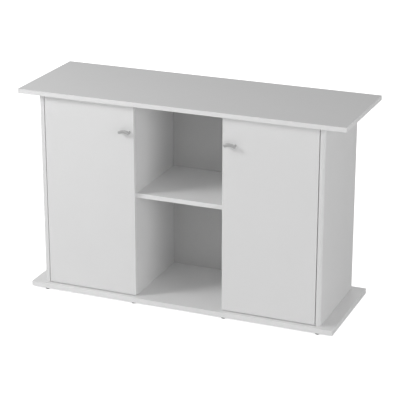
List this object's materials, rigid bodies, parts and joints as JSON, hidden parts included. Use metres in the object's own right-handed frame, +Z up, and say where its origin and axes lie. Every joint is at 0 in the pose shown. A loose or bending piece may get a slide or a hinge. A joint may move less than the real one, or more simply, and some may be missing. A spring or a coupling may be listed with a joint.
{
  "type": "aquarium stand cabinet",
  "caption": "White aquarium stand cabinet with an overhanging top plate, a base plate, an open centre bay with a shelf, and a hinged door on each side.",
  "frame": {"origin": "on the floor, in the middle of the top plate's outline", "axes": "+X to the right seen from the front, +Y to the back, +Z up"},
  "size_m": [1.21, 0.41, 0.755],
  "materials": {
    "white_melamine": "satin white melamine over particle board",
    "white_backboard": "matt white lacquered fibreboard",
    "satin_handle": "satin",
    "beech": "raw, fluted",
    "grey_plastic": "matt",
    "white_plastic": "matt",
    "clear_rubber": "translucent, soft",
    "cast_zinc": "as cast",
    "nickel_steel": "nickel plated, pressed",
    "zinc_steel": "zinc plated"
  },
  "bodies": {
    "cabinet": {"top_panel": "white_melamine", "base_panel": "white_melamine", "left_side_panel": "white_melamine", "right_side_panel": "white_melamine", "left_partition": "white_melamine", "right_partition": "white_melamine", "centre_shelf": "white_melamine", "left_back_panel": "white_backboard", "centre_back_panel": "white_backboard", "right_back_panel": "white_backboard", "left_inner_shelf": "white_melamine", "right_inner_shelf": "white_melamine", "shelf_pins": "zinc_steel", "feet": "grey_plastic", "foot_screws": "zinc_steel", "cam_locks": "cast_zinc", "cam_bolts": "zinc_steel", "cam_cover_caps": "white_plastic", "wood_dowels": "beech", "shelf_cam_locks": "cast_zinc", "shelf_cam_bolts": "zinc_steel", "shelf_dowels": "beech", "left_upper_mounting_plate": "nickel_steel", "left_lower_mounting_plate": "nickel_steel", "right_upper_mounting_plate": "nickel_steel", "right_lower_mounting_plate": "nickel_steel", "left_upper_hinge_arm": "nickel_steel", "left_lower_hinge_arm": "nickel_steel", "right_upper_hinge_arm": "nickel_steel", "right_lower_hinge_arm": "nickel_steel", "mounting_plate_screws": "zinc_steel", "hinge_arm_screws": "zinc_steel"},
    "left_door": {"left_door": "white_melamine", "left_handle": "satin_handle", "left_handle_screws": "zinc_steel", "left_upper_hinge_cup": "nickel_steel", "left_lower_hinge_cup": "nickel_steel", "left_hinge_pins": "zinc_steel", "left_cup_screws": "zinc_steel", "left_door_buffers": "clear_rubber"},
    "right_door": {"right_door": "white_melamine", "right_handle": "satin_handle", "right_handle_screws": "zinc_steel", "right_upper_hinge_cup": "nickel_steel", "right_lower_hinge_cup": "nickel_steel", "right_hinge_pins": "zinc_steel", "right_cup_screws": "zinc_steel", "right_door_buffers": "clear_rubber"}
  },
  "joints": [
    {"name": "left_door_hinge", "type": "hinge", "parent": "cabinet", "child": "left_door", "pos_m": [-0.497, -0.1794, 0.383], "axis": [0, 0, -1], "range_deg": [0, 95]},
    {"name": "right_door_hinge", "type": "hinge", "parent": "cabinet", "child": "right_door", "pos_m": [0.497, -0.1794, 0.383], "axis": [0, 0, 1], "range_deg": [0, 95]}
  ]
}
